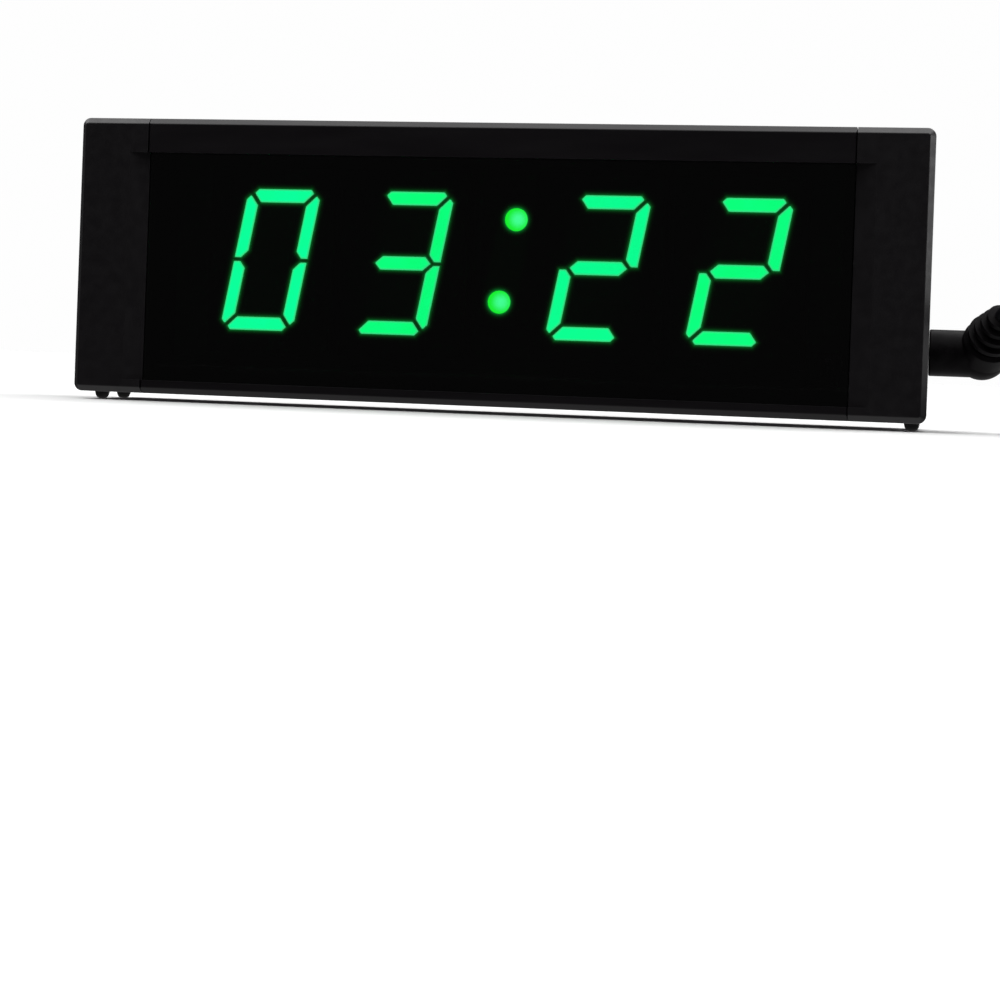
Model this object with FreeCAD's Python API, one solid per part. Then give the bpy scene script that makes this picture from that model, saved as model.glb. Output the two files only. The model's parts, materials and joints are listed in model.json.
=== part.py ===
import FreeCAD, Part
import math
import os

from FreeCAD import Vector

# Gym round timer with its plugged-in power lead. Millimetres, +Z up, display facing -Y, +X to the right.
# The origin is on the surface the timer stands on, below the middle of the case.

# ---- driving dimensions: case ----
case_width = 218.0
case_depth = 40.0
case_height = 71.2
foot_height = 2.0
cap_width = 18.8
seam_gap = 0.2            # slit between each end cap and the extrusion
wall = 1.8                # extrusion wall
top_rail = 8.9            # front lip above the lens
bottom_rail = 3.4         # front lip below the lens
edge_bevel = 1.5          # flat slope along the edges of the case
edge_round = 0.5          # rounding on both sides of that slope
corner_round = 2.1        # end cap corners seen from the front
cap_wall = 2.2
cap_end_wall = 2.4
bevel_width = 4.8         # end cap front slope beside the lens

# ---- driving dimensions: display ----
lens_thickness = 2.0
lens_clearance = 0.1
board_thickness = 1.6
board_front = -3.4        # Y of the board's front face
digit_height = 38.1
digit_width = 20.0
digit_slant = math.radians(10.0)
digit_pitch = 35.2
colon_pitch = 50.4        # from digit 2 to digit 3, across the colon
display_shift = 2.2       # the digits sit this far right of the case's middle
segment_depth = 3.0
housing_width = 33.0
housing_height = 48.0
housing_depth = 9.6
colon_shift = 1.7         # colon right of the middle between digits 2 and 3
colon_rise = 1.4
colon_half_gap = 10.5
colon_radius = 2.9

# ---- driving dimensions: hanging channel ----
channel_height_above_base = 50.0
channel_opening = 12.0
channel_inside = 17.0
channel_lip = 1.4
channel_depth = 6.1
hanger_length = 26.0
hanger_thickness = 1.6
hanger_home = 60.0
keyhole_radius = 3.9
keyhole_slot = 4.2

# ---- driving dimensions: power inlet and lead ----
jack_rise = 17.5          # jack centre above the case's bottom face
jack_bore_radius = 3.15
barrel_radius = 2.75
barrel_length = 9.5
overmold_radius = 5.8
elbow_reach = 13.0        # elbow centre from the case's side
arm_direction = Vector(0.24, -0.80, 0.55)
arm_length = 16.6
cord_diameter = 3.4
coil_centre = Vector(158.0, -8.0, 0)
coil_mean_radius = 19.0
coil_half_width = 6.2
coil_height = 10.8
coil_turns = 6.275
adapter_place = Vector(258.0, -14.0, 0)
adapter_length = 80.0
adapter_width = 45.0
adapter_height = 32.0
adapter_seam = 15.0
adapter_skin = 2.2
relief_length = 17.0
blade_length = 17.0
blade_spacing = 12.7
blade_shift = 14.0        # blades beyond the adapter's middle
plug_block_rise = 3.0

# ---- driving dimensions: electronics on the display board ----
buzzer_x = -52.0
buzzer_rise = 20.0        # heights above the case's bottom face
cell_x = 56.0
cell_rise = 23.0
cell_radius = 10.0
connector_x = 76.0
connector_rise = 11.7
receiver_x = 85.2
receiver_rise = 13.0
crystal_x = 34.0
crystal_rise = 38.0
capacitor_places_x = (-80.0, -71.0)
capacitor_rise = 24.0
regulator_x = 78.0
regulator_rise = 30.0

# ---- values worked out from them ----
half_width = case_width / 2
half_depth = case_depth / 2
case_bottom = foot_height
case_top = case_bottom + case_height
profile_end = half_width - cap_width
cap_start = profile_end + seam_gap
lens_front = -half_depth + wall + lens_clearance
lens_back = lens_front + lens_thickness
board_back = board_front + board_thickness
digit_face = board_front - housing_depth
digit_bottom = case_bottom + (case_height - digit_height) / 2
digit_middle = digit_bottom + digit_height / 2
middle_of_digits = display_shift
digit_centres = [
    middle_of_digits - colon_pitch / 2 - digit_pitch,
    middle_of_digits - colon_pitch / 2,
    middle_of_digits + colon_pitch / 2,
    middle_of_digits + colon_pitch / 2 + digit_pitch,
]
channel_z = case_bottom + channel_height_above_base
jack_z = case_bottom + jack_rise
screw_places = [
    (14.2, case_top - 6.0),
    (14.2, case_bottom + 6.0),
    (-9.6, case_top - 6.0),
    (-9.6, case_bottom + 6.0),
]
foot_places_y = (-7.5, 7.5)
foot_stem_radius = 0.9
foot_bulb_radius = 1.35
foot_x = half_width - 3.4
buzzer_z = case_bottom + buzzer_rise
cell_z = case_bottom + cell_rise
connector_z = case_bottom + connector_rise
receiver_z = case_bottom + receiver_rise
crystal_z = case_bottom + crystal_rise
capacitor_z = case_bottom + capacitor_rise
regulator_z = case_bottom + regulator_rise
jack_nose_radius = 4.6
jack_board_bottom = jack_z - 5.5 - board_thickness
jack_screw_places = (94.6, 103.6)
jack_screw_y = 7.6
overmold_start = half_width + 0.15
elbow = Vector(half_width + elbow_reach, 0, jack_z)
arm = Vector(arm_direction).normalize()
arm_tip = elbow + arm * arm_length
cord_radius = cord_diameter / 2
adapter_half_length = adapter_length / 2
adapter_half_width = adapter_width / 2
plug_block_top = adapter_height + plug_block_rise

pieces = {}


# ---- plain helpers ----
def box(x0, x1, y0, y1, z0, z1):
    return Part.makeBox(x1 - x0, y1 - y0, z1 - z0, Vector(x0, y0, z0))


def rod_x(radius, x0, x1, y, z):
    return Part.makeCylinder(radius, x1 - x0, Vector(x0, y, z), Vector(1, 0, 0))


def rod_y(radius, y0, y1, x, z):
    return Part.makeCylinder(radius, y1 - y0, Vector(x, y0, z), Vector(0, 1, 0))


def rod_z(radius, z0, z1, x, y):
    return Part.makeCylinder(radius, z1 - z0, Vector(x, y, z0), Vector(0, 0, 1))


def fuse_all(shapes):
    result = shapes[0]
    if len(shapes) > 1:
        result = shapes[0].multiFuse(shapes[1:])
    return result.removeSplitter()


def mirrored(shape):
    return shape.mirror(Vector(0, 0, 0), Vector(1, 0, 0))


def edges_where(shape, test):
    chosen = []
    for edge in shape.Edges:
        ends = [vertex.Point for vertex in edge.Vertexes]
        if len(ends) == 2 and test(ends[0], ends[1]):
            chosen.append(edge)
    return chosen


def near(a, b):
    return abs(a - b) < 0.01


def point_along(shape, origin, direction):
    # Turns a shape built along +Z at the origin so that it starts at origin and points along direction.
    turn = FreeCAD.Rotation(Vector(0, 0, 1), direction)
    moved = shape.copy()
    moved.Placement = FreeCAD.Placement(origin, turn)
    return moved


def turned_profile(points):
    # Solid of revolution about +Z from (radius, height) points.
    corners = [Vector(radius, 0, height) for radius, height in points]
    outline = Part.makePolygon(corners + [corners[0]])
    return Part.Face(outline).revolve(Vector(0, 0, 0), Vector(0, 0, 1), 360)


def cord_tube(points, radius):
    # Straight runs joined by tangent arcs, each as large as its two runs allow.
    edges = []
    radii = []
    start = points[0]
    for before, corner, after in zip(points, points[1:], points[2:]):
        into = (corner - before).normalize()
        out = (after - corner).normalize()
        turn = into.getAngle(out)
        shorter = min((corner - before).Length, (after - corner).Length)
        reach = 0.45 * shorter
        radii.append(reach / math.tan(turn / 2))
        arc_start = corner - into * reach
        arc_end = corner + out * reach
        inward = (out - into).normalize()
        middle = (arc_start + arc_end) / 2 - inward * (radii[-1] * (1 - math.cos(turn / 2)))
        edges.append(Part.LineSegment(start, arc_start).toShape())
        edges.append(Part.Arc(arc_start, middle, arc_end).toShape())
        start = arc_end
    edges.append(Part.LineSegment(start, points[-1]).toShape())
    path = Part.Wire(edges)
    direction = (points[1] - points[0]).normalize()
    ring = Part.Wire([Part.makeCircle(radius, points[0], direction)])
    tube = path.makePipeShell([ring], True, True)
    expected = math.pi * radius ** 2 * path.Length
    return tube, path.Length, min(radii), tube.Volume / expected


# ---- case ----
def case_profile():
    outer = box(-profile_end, profile_end, -half_depth, half_depth, case_bottom, case_top)
    long_edges = edges_where(outer, lambda a, b: near(a.y, b.y) and near(a.z, b.z))
    outer = softened(outer.makeChamfer(edge_bevel, long_edges))
    inside = box(-profile_end - 1, profile_end + 1, -half_depth + wall, half_depth - wall,
                 case_bottom + wall, case_top - wall)
    window = box(-profile_end - 1, profile_end + 1, -half_depth - 1, -half_depth + wall + 1,
                 case_bottom + bottom_rail, case_top - top_rail)
    shell = outer.cut(inside).cut(window)
    added = [shell] + lens_groove_ribs() + board_groove_ribs() + [channel_block()]
    for y, z in screw_places:
        added.append(screw_boss(y, z))
    body = fuse_all(added)
    return body.cut(channel_space()).cut(sound_holes())


def lens_groove_ribs():
    rib_back = lens_back + 1.3
    above_lens = box(-profile_end, profile_end, -half_depth + wall, rib_back,
                     case_top - top_rail + 2.1, case_top - wall)
    behind_top = box(-profile_end, profile_end, lens_back + lens_clearance, rib_back,
                     case_top - top_rail + 0.4, case_top - wall)
    behind_bottom = box(-profile_end, profile_end, lens_back + lens_clearance, rib_back,
                        case_bottom + wall, case_bottom + bottom_rail + 0.3)
    return [above_lens, behind_top, behind_bottom]


def board_groove_ribs():
    ribs = []
    for y0, y1 in ((board_front - 1.4, board_front - 0.1), (board_back + 0.1, board_back + 1.4)):
        ribs.append(box(-profile_end, profile_end, y0, y1, case_bottom + wall, case_bottom + wall + 2.2))
        ribs.append(box(-profile_end, profile_end, y0, y1, case_top - wall - 2.2, case_top - wall))
    return ribs


def screw_boss(y, z):
    # C-shaped channel on a short web, open toward the middle of the case.
    outside = rod_x(2.7, -profile_end, profile_end, y, z)
    toward_wall = 1 if z > (case_top + case_bottom) / 2 else -1
    wall_z = case_top - wall if toward_wall > 0 else case_bottom + wall
    low, high = sorted((z, wall_z))
    web = box(-profile_end, profile_end, y - 1.3, y + 1.3, low, high)
    hole = rod_x(1.3, -profile_end - 1, profile_end + 1, y, z)
    low, high = sorted((z, z - toward_wall * 4.0))
    slot = box(-profile_end - 1, profile_end + 1, y - 0.5, y + 0.5, low, high)
    return outside.fuse(web).cut(hole).cut(slot)


def channel_block():
    return box(-profile_end, profile_end, half_depth - channel_depth - channel_lip, half_depth,
               channel_z - channel_inside / 2 - channel_lip, channel_z + channel_inside / 2 + channel_lip)


def channel_space():
    opening = box(-profile_end - 1, profile_end + 1, half_depth - channel_depth, half_depth + 1,
                  channel_z - channel_opening / 2, channel_z + channel_opening / 2)
    inside = box(-profile_end - 1, profile_end + 1, half_depth - channel_depth, half_depth - channel_lip,
                 channel_z - channel_inside / 2, channel_z + channel_inside / 2)
    return opening.fuse(inside)


def sound_holes():
    holes = [rod_y(1.0, half_depth - wall - 1, half_depth + 1, buzzer_x, buzzer_z)]
    for step in range(6):
        angle = math.radians(60 * step)
        holes.append(rod_y(1.0, half_depth - wall - 1, half_depth + 1,
                           buzzer_x + 3.6 * math.cos(angle), buzzer_z + 3.6 * math.sin(angle)))
    return Part.makeCompound(holes)


def end_cap_blank():
    # Right-hand cap: a thin-walled box open toward the extrusion.
    outer = box(cap_start, half_width, -half_depth, half_depth, case_bottom, case_top)
    corners = edges_where(outer, lambda a, b: near(a.x, half_width) and near(b.x, half_width)
                          and near(a.z, b.z))
    outer = outer.makeFillet(corner_round, corners)
    rims = [edge for edge in outer.Edges if edge_on_front_or_back(edge)]
    outer = softened(outer.makeChamfer(edge_bevel, rims))
    inside = box(cap_start - 1, half_width - cap_end_wall, -half_depth + cap_wall, half_depth - cap_wall,
                 case_bottom + cap_wall, case_top - cap_wall)
    front_skin = box(cap_start, cap_start + bevel_width + 1, -half_depth + cap_wall,
                     -half_depth + cap_wall + 2.0, case_bottom + cap_wall, case_top - cap_wall)
    shell = outer.cut(inside).fuse(front_skin)
    return shell.cut(front_bevel())


def softened(shape):
    # Rounds the two lines where the sloped edge meets the front or back and the sides.
    lines = [edge for edge in shape.Edges if borders_slope(edge)]
    return shape.makeFillet(edge_round, lines)


def borders_slope(edge):
    ends = [vertex.Point for vertex in edge.Vertexes]
    middle = edge.valueAt((edge.FirstParameter + edge.LastParameter) / 2)
    places = ends + [middle]
    on_face = all(near(abs(p.y), half_depth) for p in places)
    beside_face = all(near(abs(p.y), half_depth - edge_bevel) for p in places)
    at_seam = all(near(p.x, cap_start) for p in places)
    return (on_face or beside_face) and not at_seam and not (near(edge.Length, 0))


def edge_on_front_or_back(edge):
    middle = edge.valueAt((edge.FirstParameter + edge.LastParameter) / 2)
    ends = [vertex.Point for vertex in edge.Vertexes]
    on_face = all(near(abs(p.y), half_depth) for p in ends) and near(abs(middle.y), half_depth)
    return on_face and not all(near(p.x, cap_start) for p in ends)


def front_bevel():
    # Wedge taken off the cap beside the lens, from the front face down to the lens surface.
    drop = lens_front + half_depth
    start_x = cap_start - 1.0
    deep = drop * (bevel_width + 1.0) / bevel_width
    points = [
        Vector(cap_start + bevel_width, -half_depth, 0),
        Vector(start_x, -half_depth + deep, 0),
        Vector(start_x, -half_depth - 2.0, 0),
        Vector(cap_start + bevel_width, -half_depth - 2.0, 0),
    ]
    outline = Part.Face(Part.makePolygon(points + [points[0]]))
    height = case_height - bottom_rail - top_rail
    wedge = outline.extrude(Vector(0, 0, height))
    wedge.translate(Vector(0, 0, case_bottom + bottom_rail))
    return wedge


def cap_inside_features(shell):
    posts = [rod_x(4.0, cap_start, half_width - 1.0, y, z) for y, z in screw_places]
    tabs = [
        box(profile_end - 4.0, half_width - cap_end_wall, 1.2, 9.8, case_top - wall - 1.9,
            case_top - wall - 0.1),
        box(profile_end - 4.0, half_width - cap_end_wall, 1.2, 9.8, case_bottom + wall + 0.1,
            case_bottom + wall + 1.9),
    ]
    body = fuse_all([shell] + posts + tabs)
    for y, z in screw_places:
        body = body.cut(rod_x(1.7, cap_start - 1, half_width + 1, y, z))
        body = body.cut(rod_x(3.1, half_width - 2.2, half_width + 1, y, z))
    return body


def foot_holes():
    # A snug hole through the floor and room above it for the bulb of each foot.
    holes = []
    for y in foot_places_y:
        holes.append(rod_z(foot_stem_radius + 0.1, case_bottom - 1, case_bottom + cap_wall + 1, foot_x, y))
        holes.append(rod_z(foot_bulb_radius + 0.1, case_bottom + cap_wall, case_bottom + cap_wall + 1.7,
                           foot_x, y))
    return fuse_all(holes)


def end_cap_left():
    return mirrored(cap_inside_features(end_cap_blank()).cut(foot_holes()))


def end_cap_right():
    cap = cap_inside_features(end_cap_blank())
    cap = cap.fuse(jack_board_rib()).cut(foot_holes())
    cap = cap.cut(rod_x(jack_nose_radius + 0.1, half_width - 4, half_width + 1, 0, jack_z))
    for x in jack_screw_places:
        cap = cap.cut(rod_z(0.9, jack_board_bottom - 6, jack_board_bottom + 1, x, jack_screw_y))
    return cap.removeSplitter()


def end_cap_screws():
    # Pan head self-tapping screws, one per channel of the extrusion, heads sunk in the cap.
    screws = []
    seat = half_width - 2.2
    for y, z in screw_places:
        shank = rod_x(1.25, seat - 21.0, seat + 0.2, y, z)
        tip = Part.makeCone(0.4, 1.25, 1.5, Vector(seat - 22.5, y, z), Vector(1, 0, 0))
        head = rod_x(2.8, seat, seat + 1.9, y, z)
        head = head.makeFillet(0.6, [edge for edge in head.Edges
                                     if near(edge.BoundBox.XMin, seat + 1.9) and len(edge.Vertexes) == 1])
        cross = box(seat + 0.9, seat + 3, y - 1.6, y + 1.6, z - 0.35, z + 0.35)
        cross = cross.fuse(box(seat + 0.9, seat + 3, y - 0.35, y + 0.35, z - 1.6, z + 1.6))
        screws.append(fuse_all([shank, tip, head]).cut(cross))
    return Part.makeCompound(screws)


def foot(x, y):
    # Push-in rubber foot: low domed toe, a thin stem through the cap and a bulb that holds it.
    toe = turned_profile([(0, 0), (0.7, 0), (1.15, 0.15), (1.5, 0.5), (1.75, 1.0), (1.9, 1.6),
                          (1.9, foot_height), (0, foot_height)])
    stem = rod_z(foot_stem_radius, foot_height - 0.2, foot_height + cap_wall + 0.1, 0, 0)
    bulb = Part.makeCone(foot_bulb_radius, 0.6, 1.6, Vector(0, 0, foot_height + cap_wall), Vector(0, 0, 1))
    whole = fuse_all([toe, stem, bulb])
    whole.translate(Vector(x, y, 0))
    return whole


def lens():
    return box(-profile_end + 0.1, profile_end - 0.1, lens_front, lens_back,
               case_bottom + wall + lens_clearance, case_top - top_rail + 2.0)


# ---- digits ----
def segment_outlines():
    # Corner points of the seven bars in an upright digit, from its lower left corner.
    w, h, m = digit_width, digit_height, digit_height / 2
    a = [(2.9, h), (w - 2.9, h), (w - 1.85, h - 1.25), (w - 4.1, h - 3.95), (4.1, h - 3.95), (1.85, h - 1.25)]
    f = [(0, m + 0.3), (0, h - 2.9), (0.95, h - 1.85), (1.45, h - 1.85), (3.7, h - 4.5), (3.7, m + 2.3),
         (2.0, m + 0.3)]
    g = [(2.45, m), (4.35, m + 2.0), (w - 4.35, m + 2.0), (w - 2.45, m), (w - 4.35, m - 2.0), (4.35, m - 2.0)]
    return {
        "a": a,
        "b": [(w - x, z) for x, z in f],
        "c": [(w - x, h - z) for x, z in f],
        "d": [(x, h - z) for x, z in a],
        "e": [(x, h - z) for x, z in f],
        "f": f,
        "g": g,
    }


def segment(points, centre_x, front, back):
    corners = []
    for across, up in points:
        lean = (up - digit_height / 2) * math.tan(digit_slant)
        corners.append(Vector(centre_x - digit_width / 2 + across + lean, front, digit_bottom + up))
    face = Part.Face(Part.makePolygon(corners + [corners[0]]))
    return face.extrude(Vector(0, back - front, 0))


def segments(centre_x, letters):
    outlines = segment_outlines()
    return [segment(outlines[letter], centre_x, digit_face - 0.05, digit_face + segment_depth)
            for letter in letters]


def digit_housing(centre_x):
    block = box(centre_x - housing_width / 2, centre_x + housing_width / 2, digit_face, board_front,
                digit_middle - housing_height / 2, digit_middle + housing_height / 2)
    upright = edges_where(block, lambda a, b: near(a.x, b.x) and near(a.z, b.z))
    block = block.makeFillet(0.6, upright)
    for points in segment_outlines().values():
        block = block.cut(segment(points, centre_x, digit_face - 1, digit_face + segment_depth))
    return block


def colon_place(side):
    x = middle_of_digits + colon_shift + side * colon_half_gap * math.tan(digit_slant)
    return x, digit_middle + colon_rise + side * colon_half_gap


def colon_lamp(side):
    # Round lamp with a low dome, a flange and two legs.
    x, z = colon_place(side)
    dome_start = digit_face + 0.9
    body = rod_y(colon_radius, dome_start, dome_start + 6.0, x, z)
    front_rim = [edge for edge in body.Edges if near(edge.BoundBox.YMax, dome_start)]
    body = body.makeFillet(0.9, front_rim)
    flange = rod_y(colon_radius + 0.4, dome_start + 5.0, dome_start + 6.0, x, z)
    legs = [box(x + offset - 0.25, x + offset + 0.25, dome_start + 5.9, board_back + 1.2, z - 0.25, z + 0.25)
            for offset in (-1.27, 1.27)]
    return fuse_all([body, flange] + legs)


def colon_holder():
    low_x, low_z = colon_place(-1)
    high_x, high_z = colon_place(1)
    middle_x = (low_x + high_x) / 2
    block = box(middle_x - 6.9, middle_x + 6.9, digit_face + 1.6, board_front, low_z - 6.5, high_z + 6.5)
    for x, z in ((low_x, low_z), (high_x, high_z)):
        block = block.cut(rod_y(colon_radius + 0.05, digit_face, digit_face + 7, x, z))
        block = block.cut(rod_y(colon_radius + 0.5, digit_face + 5.8, board_front + 1, x, z))
    return block


# ---- electronics ----
def display_board():
    board = box(-profile_end + 3, profile_end - 3, board_front, board_back,
                case_bottom + wall + 0.1, case_top - wall - 0.1)
    for side in (-1, 1):
        x, z = colon_place(side)
        for offset in (-1.27, 1.27):
            board = board.cut(box(x + offset - 0.3, x + offset + 0.3, board_front - 1, board_back + 1,
                                  z - 0.3, z + 0.3))
    for offset in (-2.54, 0, 2.54):
        board = board.cut(box(receiver_x + offset / 2 - 0.3, receiver_x + offset / 2 + 0.3, board_front - 1,
                              board_back + 1, receiver_z - 4.3, receiver_z - 3.7))
    return board


def chip(x, z, width, height, thickness, legs_per_side):
    # Flat package with gull-wing legs on its upper and lower sides.
    body = box(x - width / 2, x + width / 2, board_back + 0.1, board_back + thickness,
               z - height / 2, z + height / 2)
    step = width / legs_per_side
    legs = []
    for side in (-1, 1):
        for count in range(legs_per_side):
            leg_x = x - width / 2 + step * (count + 0.5)
            edge_z = z + side * height / 2
            low, high = sorted((edge_z - side * 0.3, edge_z + side * 1.1))
            legs.append(box(leg_x - 0.2, leg_x + 0.2, board_back, board_back + 0.5, low, high))
    return fuse_all([body] + legs)


def clock_crystal():
    can = rod_x(1.0, crystal_x, crystal_x + 6.0, board_back + 1.0, crystal_z)
    leads = [box(crystal_x + 5.9, crystal_x + 8.0, board_back, board_back + 1.2, crystal_z + offset - 0.15,
                 crystal_z + offset + 0.15) for offset in (-0.5, 0.5)]
    return fuse_all([can] + leads)


def coin_cell():
    cell = rod_y(cell_radius, board_back + 1.1, board_back + 4.3, cell_x, cell_z)
    rims = [edge for edge in cell.Edges if len(edge.Vertexes) == 1]
    return cell.makeFillet(0.4, rims)


def coin_cell_holder():
    base = rod_y(cell_radius + 1.6, board_back, board_back + 3.4, cell_x, cell_z)
    base = base.cut(rod_y(cell_radius + 0.1, board_back + 1.0, board_back + 5, cell_x, cell_z))
    notch = box(cell_x - 4, cell_x + 4, board_back + 1.0, board_back + 5, cell_z + 8, cell_z + 13)
    clip = box(cell_x - 2.5, cell_x + 2.5, board_back + 4.4, board_back + 4.9, cell_z - 12.6, cell_z + 3.0)
    clip_foot = box(cell_x - 2.5, cell_x + 2.5, board_back, board_back + 4.9, cell_z - 13.1, cell_z - 12.1)
    clip_root = box(cell_x - 2.5, cell_x + 2.5, board_back, board_back + 0.9, cell_z - 12.6, cell_z - 10.9)
    return fuse_all([base.cut(notch), clip, clip_foot, clip_root])


def buzzer():
    can = rod_y(6.0, board_back, board_back + 8.5, buzzer_x, buzzer_z)
    can = can.makeFillet(0.6, [edge for edge in can.Edges if near(edge.BoundBox.YMin, board_back + 8.5)])
    return can.cut(rod_y(1.1, board_back + 6.5, board_back + 10, buzzer_x, buzzer_z))


def storage_capacitors():
    cans = []
    for x in capacitor_places_x:
        base = box(x - 3.3, x + 3.3, board_back, board_back + 0.8, capacitor_z - 3.3, capacitor_z + 3.3)
        can = rod_y(3.15, board_back + 0.7, board_back + 7.6, x, capacitor_z)
        cans.append(base.fuse(can))
    return Part.makeCompound(cans)


def voltage_regulator():
    x, z = regulator_x, regulator_z
    body = box(x - 3.3, x + 3.3, board_back + 0.1, board_back + 2.3, z - 3.0, z + 3.0)
    tab = box(x - 2.6, x + 2.6, board_back, board_back + 0.6, z + 2.9, z + 4.6)
    legs = [box(x + offset - 0.35, x + offset + 0.35, board_back, board_back + 0.6, z - 5.4, z - 2.9)
            for offset in (-2.3, 2.3)]
    return fuse_all([body, tab] + legs)


def board_connector():
    shell = box(connector_x - 4.0, connector_x + 4.0, board_back, board_back + 6.0, connector_z - 2.6,
                connector_z + 2.6)
    socket = box(connector_x - 3.0, connector_x + 5.0, board_back + 1.2, board_back + 5.0,
                 connector_z - 1.8, connector_z + 1.8)
    return shell.cut(socket)


def wire_plug():
    return box(connector_x - 2.9, connector_x + 5.2, board_back + 1.3, board_back + 4.9,
               connector_z - 1.7, connector_z + 1.7)


def infrared_receiver():
    # Dark block with a half-round eye toward the lens, on three legs bent to the board.
    x, z = receiver_x, receiver_z
    body = box(x - 2.9, x + 2.9, board_front - 6.4, board_front - 1.8, z - 3.4, z + 3.4)
    eye = Part.makeSphere(2.4, Vector(x, board_front - 6.2, z + 0.5))
    legs = []
    for offset in (-1.27, 0, 1.27):
        legs.append(box(x + offset - 0.22, x + offset + 0.22, board_front - 3.2, board_front - 2.6,
                        z - 4.25, z - 3.2))
        legs.append(box(x + offset - 0.22, x + offset + 0.22, board_front - 3.2, board_back + 0.8,
                        z - 4.25, z - 3.75))
    return fuse_all([body, eye] + legs)


# ---- power inlet ----
def jack_housing():
    block = box(cap_start + 1.6, half_width - cap_end_wall - 0.1, -4.5, 4.5, jack_z - 5.5, jack_z + 5.5)
    nose = rod_x(jack_nose_radius, half_width - cap_end_wall - 0.3, half_width - 0.3, 0, jack_z)
    bore = rod_x(jack_bore_radius, half_width - 10.6, half_width + 1, 0, jack_z)
    spring_slot = box(half_width - 10.0, half_width - 4.0, 2.8, 4.0, jack_z - 1.1, jack_z + 1.1)
    return block.fuse(nose).removeSplitter().cut(bore).cut(spring_slot).cut(jack_pin())


def jack_pin():
    pin = rod_x(1.0, half_width - 12.0, half_width - 2.2, 0, jack_z)
    tip = [edge for edge in pin.Edges if near(edge.BoundBox.XMin, half_width - 2.2)]
    return pin.makeFillet(0.5, tip)


def jack_spring():
    return box(half_width - 9.8, half_width - 4.2, 3.45, 3.75, jack_z - 0.9, jack_z + 0.9)


def jack_board():
    board = box(cap_start + 0.9, half_width - cap_end_wall - 0.3, -5.2, 9.6,
                jack_board_bottom, jack_board_bottom + board_thickness)
    for x in jack_screw_places:
        board = board.cut(rod_z(1.1, jack_board_bottom - 1, jack_board_bottom + 3, x, jack_screw_y))
    return board


def jack_board_rib():
    rib = box(cap_start + 1.0, half_width - 1.5, 5.7, 9.5, case_bottom + 1.0, jack_board_bottom)
    front_rib = box(cap_start + 1.0, half_width - 1.5, -4.6, -3.2, case_bottom + 1.0, jack_board_bottom)
    return rib.fuse(front_rib)


def jack_board_screws():
    screws = []
    top = jack_board_bottom + board_thickness
    for x in jack_screw_places:
        shank = rod_z(0.85, top - 6.0, top + 0.1, x, jack_screw_y)
        head = rod_z(1.7, top, top + 1.1, x, jack_screw_y)
        slot = box(x - 1.2, x + 1.2, jack_screw_y - 0.2, jack_screw_y + 0.2, top + 0.6, top + 2)
        screws.append(shank.fuse(head).removeSplitter().cut(slot))
    return Part.makeCompound(screws)


def jack_wire(step):
    # One wire from the jack board to the plug on the display board.
    start = Vector(connector_x + 5.2, board_back + 3.1, connector_z + step * 0.85)
    end = Vector(cap_start + 0.9, start.y + step * 1.15, jack_board_bottom + board_thickness / 2)
    points = [
        start,
        start + Vector(3.6, 0, 0),
        end + Vector(-3.6, 0, 0),
        end,
    ]
    tube, length, tightest, ratio = cord_tube(points, 0.65)
    print("jack wire", step, "length", round(length, 1), "tightest radius", round(tightest, 1),
          "volume ratio", round(ratio, 4))
    return tube


# ---- wall hangers ----
def hanger_plate(home_x):
    # Keyhole plate that slides inside the channel, with two grip ridges standing in the opening.
    back = half_depth - channel_lip - 0.25
    front = back - hanger_thickness
    half = channel_inside / 2 - 0.3
    plate = box(home_x - hanger_length / 2, home_x + hanger_length / 2, front, back,
                channel_z - half, channel_z + half)
    ridges = [box(home_x + offset - 0.7, home_x + offset + 0.7, back - 0.2, half_depth - 0.4,
                  channel_z - 4.6, channel_z + 4.6) for offset in (-10.8, -8.2, 8.2, 10.8)]
    body = fuse_all([plate] + ridges)
    hole_z = channel_z - 1.8
    keyhole = rod_y(keyhole_radius, front - 1, back + 1, home_x, hole_z)
    slot = box(home_x - keyhole_slot / 2, home_x + keyhole_slot / 2, front - 1, back + 1,
               hole_z, channel_z + 3.4)
    slot_top = rod_y(keyhole_slot / 2, front - 1, back + 1, home_x, channel_z + 3.4)
    return body.cut(keyhole).cut(slot).cut(slot_top)


# ---- power lead ----
def plug_barrel():
    start = overmold_start - barrel_length
    return rod_x(barrel_radius, start + 0.8, overmold_start + 4.0, 0, jack_z).cut(
        rod_x(1.9, start - 1, overmold_start + 5.0, 0, jack_z))


def plug_insulator():
    start = overmold_start - barrel_length
    tip = rod_x(barrel_radius - 0.1, start, start + 0.8, 0, jack_z)
    sleeve = rod_x(1.9, start, overmold_start + 4.0, 0, jack_z)
    return fuse_all([tip, sleeve]).cut(rod_x(1.45, start - 1, overmold_start + 5, 0, jack_z))


def plug_contact():
    start = overmold_start - barrel_length + 1.0
    return rod_x(1.45, start, overmold_start + 4.0, 0, jack_z).cut(
        rod_x(1.25, start - 1, overmold_start + 3.0, 0, jack_z))


def plug_overmold():
    # One moulding: straight grip, round elbow and a ribbed, tapering strain relief.
    grip = rod_x(overmold_radius, overmold_start, elbow.x, 0, jack_z)
    rim = [edge for edge in grip.Edges if near(edge.BoundBox.XMax, overmold_start)]
    grip = grip.makeFillet(0.4, rim)
    corner = Part.makeSphere(overmold_radius + 0.6, elbow)
    relief = point_along(strain_relief(6.3, 3.0, 6.6, arm_length, 4), elbow, arm)
    body = fuse_all([grip, corner, relief])
    socket = rod_x(barrel_radius, overmold_start - 1, overmold_start + 4.0, 0, jack_z)
    return body.cut(socket)


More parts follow.
